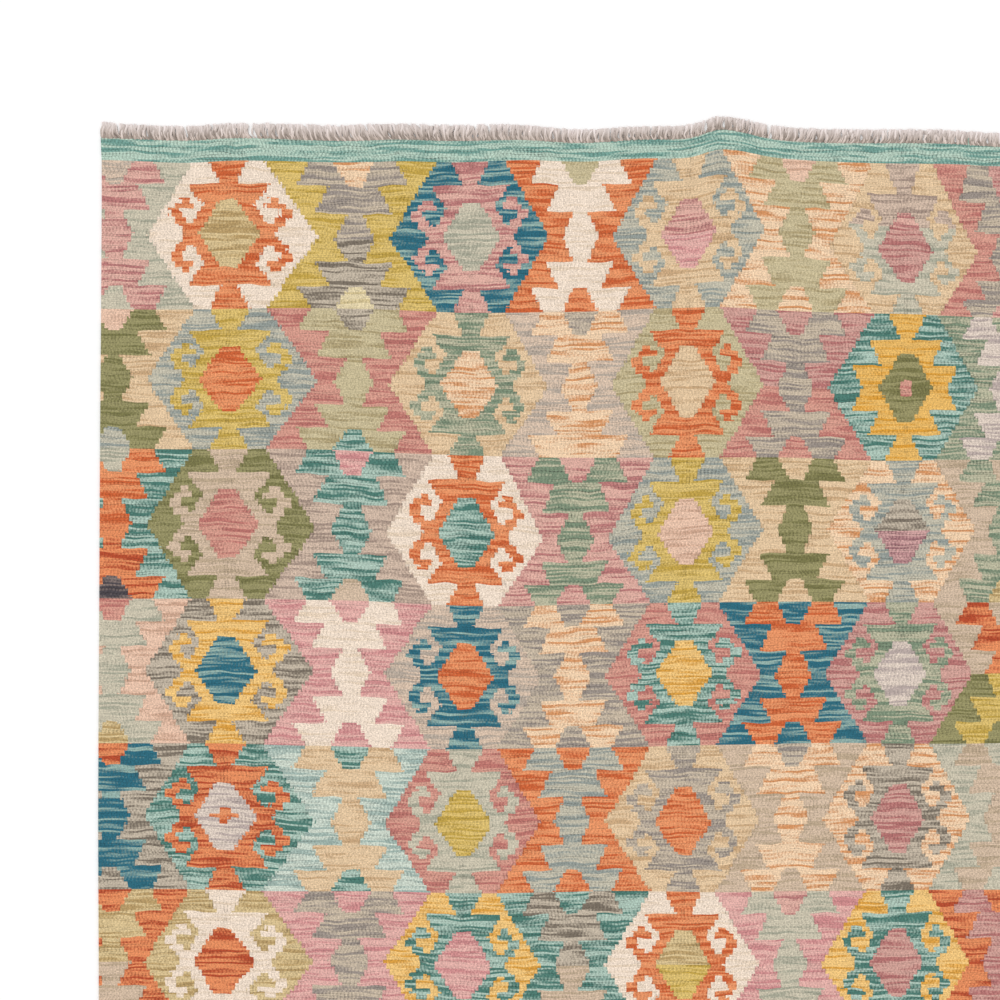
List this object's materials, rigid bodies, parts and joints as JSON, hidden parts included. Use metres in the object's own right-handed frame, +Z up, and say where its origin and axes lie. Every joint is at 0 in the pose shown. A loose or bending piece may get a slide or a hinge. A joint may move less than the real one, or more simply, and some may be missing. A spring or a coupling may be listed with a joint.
{
  "type": "kilim rug",
  "caption": "Flat-woven wool kilim rug: a thin rectangular cloth in slit tapestry, with hooked medallions, plain end bands and short cut warp fringes.",
  "frame": {"origin": "middle of the rug's box, on the surface it lies on", "axes": "+X across the rug along the weft, +Y along the warp to the top end, +Z up"},
  "size_m": [1.7052, 2.4792, 0.003],
  "materials": {
    "dyed_wool": "matt weft-faced wool tapestry, ribbed along the warp, in streaky muted teal, rose, orange, mustard, sage, sand, cream and blue-grey",
    "warp_yarn": "matt undyed grey-beige plied yarn, paler and fuzzy at the cut tips"
  },
  "bodies": {
    "root": {"kilim_cloth": "dyed_wool", "fringe_top": "warp_yarn", "fringe_bottom": "warp_yarn"}
  },
  "joints": []
}
